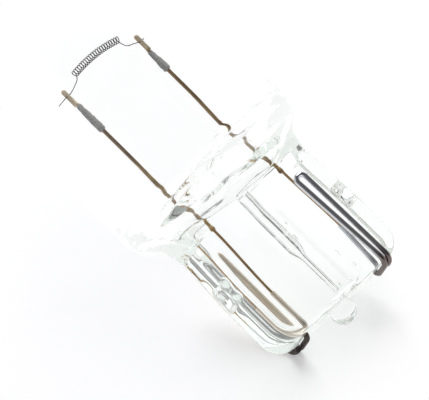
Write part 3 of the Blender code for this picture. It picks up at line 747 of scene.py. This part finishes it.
@dataclass
class GlassBulb:
    """Envelope, shoulder, pressed wedge base and exhaust tip, all one piece of glass."""

    diameter: float = 20.2 * MM
    wall: float = 0.6 * MM
    length: float = 42.4 * MM
    shoulder_top: float = 18.0 * MM
    shoulder_break: float = 15.4 * MM
    shoulder_steepness: float = 7.5
    shoulder_round_at: float = 0.8  # of the shoulder's height: no flat faces are left above
    base_height: float = 12.05 * MM
    base_width: float = 16.0 * MM
    base_thickness: float = 5.2 * MM
    neck_width: float = 15.4 * MM
    web_thickness: float = 4.5 * MM
    web_width: float = 3.6 * MM
    web_slope: float = 1.7 * MM
    web_end: float = 2.0 * MM
    rail_limit: float = 0.66  # of the half width
    barb_width: float = 16.8 * MM
    barb_foot: float = 5.9 * MM
    barb_peak: float = 6.4 * MM
    notch_width: float = 14.9 * MM
    notch_height: float = 8.0 * MM
    notch_rise: float = 0.8 * MM
    barb_flat: float = 0.35  # of the half thickness: full up to here
    barb_end: float = 0.7  # and gone here
    barb_reach: float = 0.4  # of the base's width: the narrow sides lie outside
    side_corner: float = 2.3 * MM
    face_corner: float = 0.55 * MM
    end_edge: float = 0.6 * MM
    end_flat: Triple = (3.976 * MM, 1.75 * MM, 0.9 * MM)
    hollow_floor: float = 13.3 * MM
    neck_wall: float = 1.5 * MM
    hollow_slot: float = 1.9 * MM
    floor_round: float = 1.7 * MM
    floor_dip: float = 0.6 * MM
    bore: float = 1.5 * MM
    pinched_bore: float = 0.6 * MM
    pinch_height: float = 5.8 * MM
    tip_closed_at: float = 0.8 * MM
    tip_diameter: float = 2.5 * MM
    tip_length: float = 1.9 * MM
    tip_shift: float = -0.5 * MM
    tip_turn: float = 0.8 * pi
    tip_collar: tuple[Triple, ...] = ((1.06, -0.06 * MM, 1.0), (1.5, -0.004 * MM, 0.8))
    wave: float = 0.012 * MM
    wave_grain: float = 2.2 * MM
    wave_stretch: float = 0.6
    wave_rise: Pair = (0.2 * MM, 1.5 * MM)
    wave_fall: Pair = (15.0 * MM, 20.0 * MM)
    ridge: float = 0.085 * MM
    ridge_grains: tuple[Pair, ...] = ((1.0, 0.55 * MM), (0.35, 0.27 * MM))
    ridge_stretch: float = 0.16
    ridge_rise: Pair = (12.0 * MM, 14.0 * MM)
    ridge_fall: Pair = (17.5 * MM, 21.0 * MM)
    flat_lean: float = 3.0  # turns the waves' way out towards the flat faces'
    seed_radius: float = 0.09 * MM
    seed_places: tuple[tuple[float, float, float, float], ...] = (
        (0.6 * MM, -1.0 * MM, 7.1 * MM, 0.75 * MM),
        (2.7 * MM, -1.0 * MM, 3.5 * MM, 0.85 * MM),
        (0.25 * MM, -1.2 * MM, 1.15 * MM, 0.45 * MM),
        (3.1 * MM, -1.0 * MM, 1.7 * MM, 0.5 * MM),
        (1.4 * MM, -1.2 * MM, 0.7 * MM, 0.4 * MM),
        (0.9 * MM, -1.1 * MM, 8.6 * MM, 0.4 * MM),
    )
    ring_points: int = 176
    finish: PressedClearGlass = PressedClearGlass()

    def corner_drop(self, height: float, radius: float) -> float:
        """How far a rounded end edge draws the side in, at a height above the end."""
        return radius - sqrt(radius * radius - max(radius - height, 0.0) ** 2)

    def half_width(self, height: float) -> float:
        """Half the outer width at a height below the cylinder, along the faces' edges.

        Args:
            height: above the base end.

        Returns:
            The half width.
        """
        width = mix(self.base_width, self.neck_width, smooth_step(height, self.barb_foot, self.base_height))
        return mix(width / 2.0 - self.corner_drop(height, self.side_corner), self.diameter / 2.0,
                   smooth_step(height, self.base_height, self.shoulder_top))

    def side_bulge(self, height: float) -> float:
        """How far the middle of a narrow side stands out at the barb, or in at the notch above it.

        Args:
            height: where along Z.

        Returns:
            The distance past the faces' edges.
        """
        peak = self.barb_width / 2.0 - self.half_width(self.barb_peak)
        notch = self.notch_width / 2.0 - self.half_width(self.notch_height)
        if height <= self.barb_peak:
            return peak * smooth_step(height, self.barb_foot, self.barb_peak)
        if height <= self.notch_height:
            return mix(peak, notch, (height - self.barb_peak) / (self.notch_height - self.barb_peak))
        return notch * (1.0 - smooth_step(height, self.notch_height, self.notch_height + self.notch_rise))

    def shoulder_share(self, height: float, break_at: float) -> float:
        """How far the thickness has grown from the pressed neck to the round envelope."""
        steepness = self.shoulder_steepness / (self.shoulder_top - self.base_height)
        return 0.5 * (1.0 + tanh(steepness * (height - break_at)))

    def half_thick(self, height: float) -> float:
        """Half the outer thickness at a height below the cylinder.

        Args:
            height: where along Z.

        Returns:
            Half the size along Y.
        """
        base = self.base_thickness / 2.0 - self.corner_drop(height, self.end_edge)
        if height <= self.base_height:
            return base
        if height >= self.shoulder_top:
            return self.diameter / 2.0
        return mix(base, self.diameter / 2.0, self.shoulder_share(height, self.shoulder_break))

    def oval(self, half_width: float, half_thick: float, corner: float, web_cut: float, height: float) -> Ring:
        """One section: a rounded bar with flat faces, and a web sunk between two rails.

        Args:
            half_width: half its size along X.
            half_thick: half its size along Y.
            corner: radius of its corners; half its size gives a circle.
            web_cut: how deep the web lies below the rails.
            height: where along Z.

        Returns:
            A ring of points.
        """
        corner = min(corner, half_width, half_thick)
        flat, wall = half_width - corner, half_thick - corner
        rail = min(self.web_width / 2.0 + self.web_slope, half_width * self.rail_limit)
        web = rail * self.web_width / (self.web_width + 2.0 * self.web_slope)
        quarter_count = self.ring_points // 4
        inner_count = quarter_count // 4
        last = acos(min(max((rail - flat) / corner, 0.0), 1.0))
        curve = [(half_width, y) for y in stairs(0.0, (wall, 6))[:-1]] if wall > 0.0 else []
        curve += [(flat + corner * cos(t), wall + corner * sin(t)) for t in stairs(0.0, (last, 60))]
        if flat > rail:
            curve += [(x, half_thick) for x in stairs(flat, (rail, 12))[1:]]
        quarter = self.spread(curve, quarter_count - inner_count, corner) + [curve[-1]]
        for x in stairs(rail, (0.0, inner_count))[1:]:
            y = wall + sqrt(corner ** 2 - max(x - flat, 0.0) ** 2)
            if web_cut > 0.0:
                y = mix(y, half_thick - web_cut, 1.0 - smooth_step(x, web, rail))
            quarter.append((x, y))
        onward, backward = quarter[:-1], quarter[:0:-1]
        ring = [(x, y) for x, y in onward] + [(-x, y) for x, y in backward]
        ring += [(-x, -y) for x, y in onward] + [(x, -y) for x, y in backward]
        return [Vector((x, y, height)) for x, y in ring]

    def spread(self, points: Sequence[Pair], count: int, corner: float, crowding: float = 1.5) -> list[Pair]:
        """Points spread along a line, closer together round its corners, without its last one.

        Args:
            points: the line.
            count: how many are wanted.
            corner: the radius of the corners.
            crowding: how much a corner counts for more than its length.

        Returns:
            The spread points.
        """
        lengths, heading = [0.0], None
        for (x0, y0), (x1, y1) in zip(points, points[1:]):
            ahead = atan2(y1 - y0, x1 - x0)
            turn = abs(ahead - heading) if heading is not None else 0.0
            lengths.append(lengths[-1] + hypot(x1 - x0, y1 - y0) + turn * corner * crowding)
            heading = ahead
        spaced, cursor = [], 0
        for step in range(count):
            target = lengths[-1] * step / count
            while cursor < len(points) - 2 and lengths[cursor + 1] < target:
                cursor += 1
            share = (target - lengths[cursor]) / (lengths[cursor + 1] - lengths[cursor])
            spaced.append(tuple(mix(a, b, share) for a, b in zip(points[cursor], points[cursor + 1])))
        return spaced

    def base_section(self, height: float) -> Ring:
        """A section of the base, neck or shoulder.

        Args:
            height: where along Z.

        Returns:
            A ring of points.
        """
        fade_low = smooth_step(height, 0.0, self.end_edge)
        fade_high = 1.0 - smooth_step(height, self.base_height - self.web_end, self.base_height)
        cut = (self.base_thickness - self.web_thickness) / 2.0 * min(fade_low, fade_high)
        round_at = mix(self.base_height, self.shoulder_top, self.shoulder_round_at)
        thick = self.half_thick(height)
        corner = mix(self.face_corner, thick, smooth_step(height, self.base_height, round_at))
        ring = self.oval(self.half_width(height), thick, corner, cut, height)
        bulge = self.side_bulge(height)
        for point in ring:
            if abs(point.x) > self.base_width * self.barb_reach:
                middle = 1.0 - smooth_step(abs(point.y), thick * self.barb_flat, thick * self.barb_end)
                point.x += copysign(bulge * middle, point.x)
        return ring

    def envelope(self, radius: float, low: float) -> list[Ring]:
        """Sections of the cylinder above its lowest one, and of the dome up to its pole.

        Args:
            radius: half the skin's diameter.
            low: where the cylinder starts.

        Returns:
            The rings, from the lowest up.
        """
        centre = self.length - self.diameter / 2.0
        sizes = [(radius, height) for height in stairs(low, (centre, 10))[1:-1]]
        sizes += [(radius * cos(t), centre + radius * sin(t)) for t in stairs(0.0, (0.5 * pi, 32))[:-1]]
        rings = [self.oval(across, across, across, 0.0, height) for across, height in sizes]
        return rings + [circle(0.0, centre + radius, 1)]

    def outside(self) -> list[Ring]:
        """The outer skin.

        Returns:
            Its rings, from the tip's pole to the dome's.
        """
        radius, points, shift = self.tip_diameter / 2.0, self.ring_points, self.tip_shift
        low = -0.5 * pi
        rings = [circle(0.0, -self.tip_length, 1, shift)]
        rings += [circle(radius * cos(t), radius - self.tip_length + radius * sin(t), points, shift)
                  for t in stairs(low, (low + self.tip_turn, 14))[1:]]
        neck = rings[-1][0].x - shift
        rings += [circle(neck * wide, height, points, shift * share) for wide, height, share in self.tip_collar]
        rings.append(self.oval(*self.end_flat, 0.0, 0.0))
        heights = [self.end_edge * (1.0 - cos(t)) for t in stairs(0.0, (0.5 * pi, 6))]
        heights += stairs(
            self.end_edge, (self.side_corner, 8), (self.barb_foot, 8), (self.barb_peak, 5), (self.notch_height, 5),
            (self.notch_height + self.notch_rise, 6), (self.base_height - self.web_end, 4),
            (self.base_height, 14), (self.shoulder_top, 44))[1:]
        rings += [self.base_section(height) for height in heights]
        return rings + self.envelope(self.diameter / 2.0, self.shoulder_top)

    def inside(self) -> list[Ring]:
        """The skin of the hollow and of the exhaust bore below it.

        Returns:
            Its rings, from the closed tip to the dome.
        """
        bore, pinch, points = self.bore / 2.0, self.pinched_bore / 2.0, self.ring_points
        rings = [circle(0.0, self.tip_closed_at, 1)]
        rings += [circle(pinch * sqrt(share), self.tip_closed_at + pinch * share, points)
                  for share in (0.2, 0.6, 1.0)]
        widening = (self.pinch_height - bore, self.pinch_height + bore)
        rings += [circle(mix(pinch, bore, smooth_step(height, *widening)), height, points)
                  for height in stairs(widening[0], (widening[1], 6))]
        floor, top = self.hollow_floor, self.shoulder_top + self.wall
        round_top = floor + self.floor_round
        rings.append(circle(bore, floor - self.floor_dip, points))
        radius = self.diameter / 2.0 - self.wall
        heights = [mix(floor, round_top, 1.0 - cos(t)) for t in stairs(0.0, (0.5 * pi, 12))]
        for height in heights + stairs(round_top, (top, 36))[1:]:
            closing = sqrt(max(1.0 - (max(round_top - height, 0.0) / self.floor_round) ** 2, 0.0))
            wall = mix(self.neck_wall, self.wall, smooth_step(height, round_top, top))
            across = max((self.half_width(height) - wall) * closing, bore)
            share = self.shoulder_share(height, self.shoulder_break + self.wall) if height < top else 1.0
            thick = max(mix(self.hollow_slot / 2.0, radius, share) * closing, bore)
            rings.append(self.oval(across, thick, thick, 0.0, height))
        return rings + self.envelope(radius, top)

    def wavy(self, rings: list[Ring]) -> list[Ring]:
        """Gives the pressed part and the shoulder the waves and ridges that hot tools leave in glass.

        Args:
            rings: the outer skin.

        Returns:
            The same rings, with their points moved.
        """
        for ring in rings:
            height = ring[0].z
            if len(ring) == 1 or height < 0.0:
                continue
            slow = self.wave * band(height, self.wave_rise, self.wave_fall)
            ridges = self.ridge * band(height, self.ridge_rise, self.ridge_fall)
            for point in ring:
                out = Vector((point.x, point.y * self.flat_lean, 0.0)).normalized()
                wave = noise.noise(Vector((point.x, point.y, point.z * self.wave_stretch)) / self.wave_grain)
                spot = Vector((point.x * self.ridge_stretch, point.y * self.ridge_stretch, point.z))
                fold = sum(share * noise.noise(spot / grain) for share, grain in self.ridge_grains)
                point += out * (slow * wave + ridges * fold)
        return rings

    def seeds(self) -> list[list[Ring]]:
        """Small bubbles drawn out along the pressed glass.

        Returns:
            The rings of each, from pole to pole.
        """
        turns = stairs(0.0, (pi, 10))
        found = []
        for x, y, height, length in self.seed_places:
            levels = [height - length / 2.0 * cos(turn) for turn in turns]
            rings = [circle(0.0, levels[0], 1)]
            rings += [circle(self.seed_radius * sin(turn), level, 12)
                      for turn, level in zip(turns[1:-1], levels[1:-1])]
            rings.append(circle(0.0, levels[-1], 1))
            found.append([[point + Vector((x, y, 0.0)) for point in ring] for ring in rings])
        return found

    def build(self) -> None:
        """Builds the outer skin and the skins of the hollow and the bubbles as one closed wall of glass."""
        mesh = closed_mesh("clear_glass", [self.wavy(self.outside()), self.inside(), *self.seeds()], 35.0)
        show_piece("clear_glass", mesh, self.finish.material(), "glass", "glass_bulb")


@dataclass
class Leads:
    """The two wire ways through the pressed glass: contact wires outside and seal wires inside.

    Pairs of values are for the left lead, whose contact wire is the back one, and the right lead.
    """

    wire: WireTree
    base_thickness: float = 5.2 * MM
    end_edge: float = 0.6 * MM
    contact_diameter: float = 0.55 * MM
    contact_sides: int = 24
    contact_offsets: Pair = (5.7 * MM, 5.32 * MM)
    contact_leans: Pair = (-0.4 * MM, 0.2 * MM)
    contact_fold: float = 1.09 * MM
    contact_fold_round: float = 0.95
    contact_first_bend: float = 2.4  # in radii of the wire
    contact_pinch: float = 0.66 * MM
    contact_top: float = 11.25 * MM
    contact_tuck: float = 1.15 * MM
    bend_steps: int = 14
    seal_diameter: float = 0.3 * MM
    seal_sides: int = 18
    seal_steps: int = 60
    seal_bottoms: Pair = (4.75 * MM, 5.3 * MM)
    seal_top: float = 12.6 * MM
    bead_inset: float = 0.1 * MM
    bead_reach: float = 0.42 * MM
    bead_swell: float = 0.95
    lead_offset: float = 4.85 * MM
    lead_shift: float = 0.09 * MM
    lead_leans: tuple[Pair, ...] = ((-0.36 * MM, -0.30 * MM), (0.24 * MM, -0.04 * MM))
    clearance: float = 0.05 * MM

    def lead_x(self, side: Side, height: float = 0.0) -> float:
        """Where a lead stands across the base; each leans a little at its joint and at its foot.

        Args:
            side: which lead.
            height: where along it.

        Returns:
            Its distance from the middle.
        """
        (joint, foot), bottom = side.pick(self.lead_leans), side.pick(self.seal_bottoms)
        if height > bottom:
            lean = joint * (1.0 - smooth_step(height, bottom, self.seal_top))
        else:
            lean = mix(foot, joint, max(height, 0.0) / bottom)
        return side.value * self.lead_offset + self.lead_shift + lean

    def contact_path(self, side: Side) -> list[Vector]:
        """Out of the base end, up one face, round and back under the end.

        Args:
            side: which lead.

        Returns:
            The wire's middle line.
        """
        radius, way = self.contact_diameter / 2.0, side.value
        below = -(radius + self.clearance)
        out = -way * (self.base_thickness / 2.0 + self.clearance + radius)
        bend = self.end_edge + self.clearance + radius
        high = self.contact_top - radius
        joint = side.pick(self.seal_bottoms)
        outer_low = side.pick(self.contact_offsets)
        inner_low, outer_high = outer_low - self.contact_pinch, outer_low - side.pick(self.contact_leans)
        inner_high = outer_high - self.contact_fold
        corners = [
            Vector((self.lead_x(side, joint), 0.0, joint)),
            Vector((self.lead_x(side), 0.0, below)),
            Vector((way * inner_low, out, below)),
            Vector((way * inner_high, out, high)),
            Vector((way * outer_high, out, high)),
            Vector((way * outer_low, out, below)),
            Vector((way * outer_low, out + way * self.contact_tuck, below)),
        ]
        turn = self.contact_fold / 2.0 * self.contact_fold_round
        return fillet(corners, [radius * self.contact_first_bend, bend, turn, turn, bend], self.bend_steps)

    def knot(self, point: Vector) -> float:
        """How much a weld bead swells the seal wire near its two ends.

        Args:
            point: where on the wire.

        Returns:
            The wire's thickness there, as a share of its own.
        """
        bottom = self.seal_bottoms[point.x > 0.0]
        ends = (bottom + self.bead_inset, self.seal_top - self.bead_inset)
        swell = max(1.0 - ((point.z - end) / self.bead_reach) ** 2 for end in ends)
        return 1.0 + self.bead_swell * sqrt(max(swell, 0.0))

    def build(self) -> None:
        """Builds both contact wires and both seal wires."""
        contacts = (BACK_FINISH.material(), CONTACT_FINISH.material())
        seal = SEAL_FINISH.material()
        for side in Side:
            word, name, contact = side.word(), side.pick(("back", "front")), side.pick(contacts)
            mesh = self.wire.grow(path_curve("contact_path", [self.contact_path(side)]), {
                "Wire diameter": self.contact_diameter, "Sides": self.contact_sides, "Finish": contact})
            show_piece("contact_" + name, mesh, contact, "contact", "contact_wire_" + name)
            levels = stairs(side.pick(self.seal_bottoms), (self.seal_top, self.seal_steps))
            line = [Vector((self.lead_x(side, level), 0.0, level)) for level in levels]
            mesh = self.wire.grow(path_curve("seal_path", [line], self.knot), {
                "Wire diameter": self.seal_diameter, "Sides": self.seal_sides, "Finish": seal})
            show_piece("seal_" + word, mesh, seal, "seal", "seal_wire_" + word)


@dataclass
class Supports:
    """The two support wires with their folded hooks, and the getter coats on them.

    Pairs of values are for the left and the right support.
    """

    diameter: float = 0.38 * MM
    sides: int = 20
    foot: float = 12.45 * MM
    offset: float = 4.815 * MM
    shift: float = 0.055 * MM
    tops: Pair = (31.5 * MM, 31.2 * MM)
    bead_swell: float = 1.5
    bead_length: float = 0.7 * MM
    hook_length: float = 2.0 * MM
    hook_width: float = 0.34 * MM
    hook_leaf: float = 0.13 * MM
    hook_taper: float = 0.5 * MM
    hook_gap: float = 0.32 * MM
    hook_round: float = 0.999
    hook_end: float = 0.05 * MM
    coat_lengths: Pair = (3.3 * MM, 2.4 * MM)
    coat_diameter: float = 0.74 * MM
    coat_gap: float = 0.05 * MM
    coat_points: int = 36
    coat_thin: float = 0.35  # of the coat is left at the hook
    coat_thins_from: float = 0.25
    coat_blunt: float = 0.07  # of its length is rounded off below
    coat_blunt_end: float = 0.45
    lumps: tuple[Pair, ...] = ((0.055 * MM, 0.35 * MM), (0.03 * MM, 0.13 * MM))
    lump_lift: float = 0.3
    crown: float = 0.02 * MM

    def x(self, side: Side) -> float:
        """Where a support stands across the lamp."""
        return side.value * self.offset + self.shift

    def wire_rings(self, side: Side) -> list[Ring]:
        """Bead, round shaft, flattened top and the leaf folded over.

        Args:
            side: which support.

        Returns:
            The wire's rings, from its foot up.
        """
        radius, x, gap = self.diameter / 2.0, self.x(side), self.hook_gap
        top = side.pick(self.tops) - self.hook_leaf / 2.0
        flat_from = side.pick(self.tops) - self.hook_length
        fold, turn = -side.value * gap, gap / 2.0 * self.hook_round
        bend = fillet([Vector((x, 0.0, flat_from)), Vector((x, 0.0, top)), Vector((x, fold, top)),
                       Vector((x, fold, flat_from + self.hook_end))], [turn, turn], 8)
        levels = [mix(self.foot, flat_from, share ** 1.4) for share in stairs(0.0, (1.0, 90))]
        levels += stairs(flat_from, (flat_from + self.hook_taper, 8))[1:]
        leaf = [Vector((x, fold, level)) for level in stairs(bend[-2].z, (bend[-1].z, 6))[1:]]
        path = [Vector((x, 0.0, level)) for level in levels] + bend[1:-1] + leaf

        def size_at(point: Vector) -> Pair:
            """The wire's size at a point.

            Args:
                point: where on its middle line.

            Returns:
                Half its width and half its depth.
            """
            rise = (point.z - self.foot) / self.bead_length
            if rise < 1.0:
                swell = mix(1.0, self.bead_swell, sin(pi * max(rise, 0.0)))
                return radius * swell, radius * swell
            flat = 1.0 if abs(point.y) > gap / 4.0 else smooth_step(point.z, flat_from, flat_from + self.hook_taper)
            return mix(radius, self.hook_width / 2.0, flat), mix(radius, self.hook_leaf / 2.0, flat)

        return sweep(path, size_at, self.sides)

    def coat_rings(self, side: Side) -> list[Ring]:
        """A crust that is thick and blunt below and thins out towards the hook.

        Args:
            side: which support.

        Returns:
            The crust's rings, from its lower end up.
        """
        high = side.pick(self.tops) - self.hook_length - self.coat_gap
        length, x = side.pick(self.coat_lengths), self.x(side)
        outer, thin = self.coat_diameter / 2.0, mix(self.diameter / 2.0, self.coat_diameter / 2.0, self.coat_thin)
        rings = [circle(0.0, high - length, 1, x)]
        for share in stairs(0.0, (1.0, 44)):
            blunt = mix(self.coat_blunt_end, 1.0, sqrt(min(share / self.coat_blunt, 1.0)))
            size = mix(outer, thin, smooth_step(share, self.coat_thins_from, 1.0)) * blunt
            middle = Vector((x, 0.0, high - length + length * share))
            ring = []
            for way in circle(1.0, 0.0, self.coat_points):
                lump = sum(depth * noise.noise((middle + way * size) / grain) for depth, grain in self.lumps)
                ring.append(middle + way * (size + lump) + Vector((0.0, 0.0, lump * self.lump_lift)))
            rings.append(ring)
        return rings + [circle(0.0, high + self.crown, 1, x)]

    def build(self) -> None:
        """Builds both supports and both coats."""
        metal, crust = SUPPORT_FINISH.material(), GetterPaint().material()
        for side in Side:
            for slot, node, rings, sharp, finish in (
                    ("support", "support_wire_", self.wire_rings(side), 50.0, metal),
                    ("getter", "getter_coat_", self.coat_rings(side), 60.0, crust)):
                name = f"{slot}_{side.word()}"
                show_piece(name, closed_mesh(name, [rings], sharp), finish, slot, node + side.word())


@dataclass
class Filament:
    """Tungsten wire wound into one arched coil, with its legs held in the hooks."""

    supports: Supports
    height: float = 31.9 * MM
    length: float = 6.1 * MM
    shift: float = 0.3 * MM
    arch: float = 0.3 * MM
    coil_diameter: float = 0.72 * MM
    wire_diameter: float = 0.085 * MM
    wire_sides: int = 10
    turns: float = 21.5  # a few less than life, as the real turns are too fine to show
    turn_steps: int = 24
    leg_steps: int = 8
    tail: float = 1.4 * MM
    tail_droop: float = 0.15
    stub: float = 0.3 * MM
    leg_drop: float = 0.75 * MM
    left_bends: tuple[Triple, ...] = ((0.34, 0.0, 0.10), (0.72, 0.7, 0.38), (0.88, 1.0, 0.62))
    right_bends: tuple[Triple, ...] = ((0.10, 0.0, 0.35), (0.22, 0.3, 0.66))
    right_entry: Pair = (0.36 * MM, 0.144 * MM)
    first_angle: float = -pi / 2.0

    def middle(self) -> Vector:
        """The middle of the coil's chord."""
        return Vector((self.supports.shift + self.shift, 0.0, self.height))

    def winding(self) -> float:
        """The radius of the wire's middle line round the coil's."""
        return (self.coil_diameter - self.wire_diameter) / 2.0

    def legs(self) -> list[list[Vector]]:
        """The wire's way from each hook to the coil.

        Returns:
            The left leg with its free tail, and the right leg with its stub.
        """
        reach = Vector((self.length / 2.0, self.winding(), 0.0))
        start, end = self.middle() - reach, self.middle() + reach
        hook = Vector((self.supports.hook_width / 2.0, 0.0, 0.0))
        left, right = (Vector((self.supports.x(side), -side.value * self.supports.hook_gap / 2.0,
                               side.pick(self.supports.tops) - self.leg_drop)) for side in Side)
        rise, fall = start - left, right - end
        entry = Vector((-self.right_entry[0], 0.0, self.right_entry[1]))
        left_leg = [left - Vector((self.tail, 0.0, self.tail * self.tail_droop)), left - hook, left + hook]
        left_leg += [left + Vector(bend) * rise for bend in self.left_bends] + [start]
        right_leg = [end] + [end + Vector(bend) * fall for bend in self.right_bends]
        right_leg += [right - hook + entry, right - hook, right + hook, right + hook + Vector((self.stub, 0.0, 0.0))]
        return [smooth_curve(left_leg, self.leg_steps), smooth_curve(right_leg, self.leg_steps)]

    def build(self) -> None:
        """Winds the coil between its legs."""
        metal = FILAMENT_FINISH.material()
        mesh = coil_tree().grow(path_curve("filament_legs", self.legs()), {
            "Turns": self.turns, "Steps per turn": self.turn_steps, "Coil length": self.length,
            "Winding radius": self.winding(), "Arch height": self.arch, "First angle": self.first_angle,
            "Middle": self.middle(), "Wire diameter": self.wire_diameter, "Sides": self.wire_sides, "Finish": metal})
        show_piece("filament_coil", mesh, metal, "filament", "filament")


# Surroundings

@dataclass
class Studio:
    """The table, the light and the camera."""

    table_size: float = 0.5
    azimuth: float = 44.0137
    elevation: float = 47.7906
    roll: float = -3.3923
    distance: float = 400.0 * MM
    shift_right: float = -2.6046 * MM
    shift_up: float = -2.0592 * MM
    pixels_per_mm: float = 10.7649
    image_width: int = 429
    sensor_width: float = 36.0
    clip: Pair = (0.01, 10.0)
    daylight: float = 0.36
    mirrored_room: Pair = (1.0, 0.12)
    room_in_glass: Pair = (0.5, 0.18)
    bright_to: float = 0.12
    dark_from: float = 0.45
    key_place: Triple = (-0.825, 0.858, 1.086)
    key_power: float = 18.0
    key_size: float = 1.0

    def table(self) -> None:
        """Lays a wide flat table top under the lamp."""
        body = bmesh.new()
        bmesh.ops.create_grid(body, x_segments=8, y_segments=8, size=self.table_size / 2.0)
        mesh = bpy.data.meshes.new("table_top")
        body.to_mesh(mesh)
        body.free()
        mesh.materials.append(TableTop().material())
        top = place_item("table_top", mesh)

    def world(self) -> None:
        """White where it is seen; an even soft light on everything else."""
        world = bpy.data.worlds.new("white studio")
        world.use_nodes = True
        tree = world.node_tree
        tree.nodes.clear()
        rays = add_node(tree, "ShaderNodeLightPath").outputs
        # What shines mirrors the white table and, above its far edge, a dark room
        upwards = add_node(tree, "ShaderNodeTexCoord").outputs["Generated"]
        height = add_node(tree, "ShaderNodeSeparateXYZ", {"Vector": upwards}).outputs["Z"]
        share = add_node(tree, "ShaderNodeMapRange", {
            "Value": height, "From Min": self.bright_to, "From Max": self.dark_from})
        lit: object = self.daylight
        for light, (low, high) in ((Light.MIRRORED, self.mirrored_room), (Light.THROUGH_GLASS, self.room_in_glass)):
            room = add_node(tree, "ShaderNodeMix", {"Factor": share, "A": low, "B": high})
            lit = add_node(tree, "ShaderNodeMix", {"Factor": rays[light.value], "A": lit, "B": room})
        strength = add_node(tree, "ShaderNodeMix", {"Factor": rays[Light.SEEN.value], "A": lit, "B": 1.0})
        sky = add_node(tree, "ShaderNodeBackground", {"Color": linear(WHITE), "Strength": strength})
        add_node(tree, "ShaderNodeOutputWorld", {"Surface": sky})
        bpy.context.scene.world = world

    def key_light(self) -> None:
        """Hangs a square soft box that faces the lamp."""
        data = bpy.data.lights.new("key_soft_box", "AREA")
        data.shape = "SQUARE"
        data.size = self.key_size
        data.energy = self.key_power
        item = place_item("key_soft_box", data)
        item.location = self.key_place
        item.rotation_mode = "QUATERNION"
        item.rotation_quaternion = (-Vector(self.key_place)).to_track_quat("-Z", "Y")
        item.visible_transmission = False  # the glass passes its light on by itself

    def camera(self) -> None:
        """Looks down on the lamp from in front of its base end, as the photo does."""
        turn = Matrix.Identity(3)
        for angle, axis in ((self.azimuth, "Z"), (90.0 - self.elevation, "X"), (self.roll, "Z")):
            turn = turn @ Matrix.Rotation(radians(angle), 3, axis)
        data = bpy.data.cameras.new("camera")
        data.sensor_fit = "HORIZONTAL"
        data.sensor_width = self.sensor_width
        data.lens = self.sensor_width * self.distance / (self.image_width / self.pixels_per_mm * MM)
        data.clip_start, data.clip_end = self.clip
        item = place_item("camera", data)
        item.rotation_mode = "QUATERNION"
        item.rotation_quaternion = turn.to_quaternion()
        item.location = turn @ Vector((-self.shift_right, -self.shift_up, self.distance))
        bpy.context.scene.camera = item

    def build(self) -> None:
        """Sets up table, light and camera."""
        self.table()
        self.world()
        self.key_light()
        self.camera()
        bpy.context.scene.view_settings.view_transform = "Standard"
        LOG.info("studio: camera at azimuth %.1f, elevation %.1f", self.azimuth, self.elevation)


def main() -> None:
    """Builds the lamp piece by piece, then its surroundings."""
    logging.basicConfig(level=logging.INFO, format="%(name)s: %(message)s")
    GlassBulb().build()
    Leads(path_tree()).build()
    supports = Supports()
    supports.build()
    Filament(supports).build()
    Studio().build()


if __name__ == "__main__":
    main()
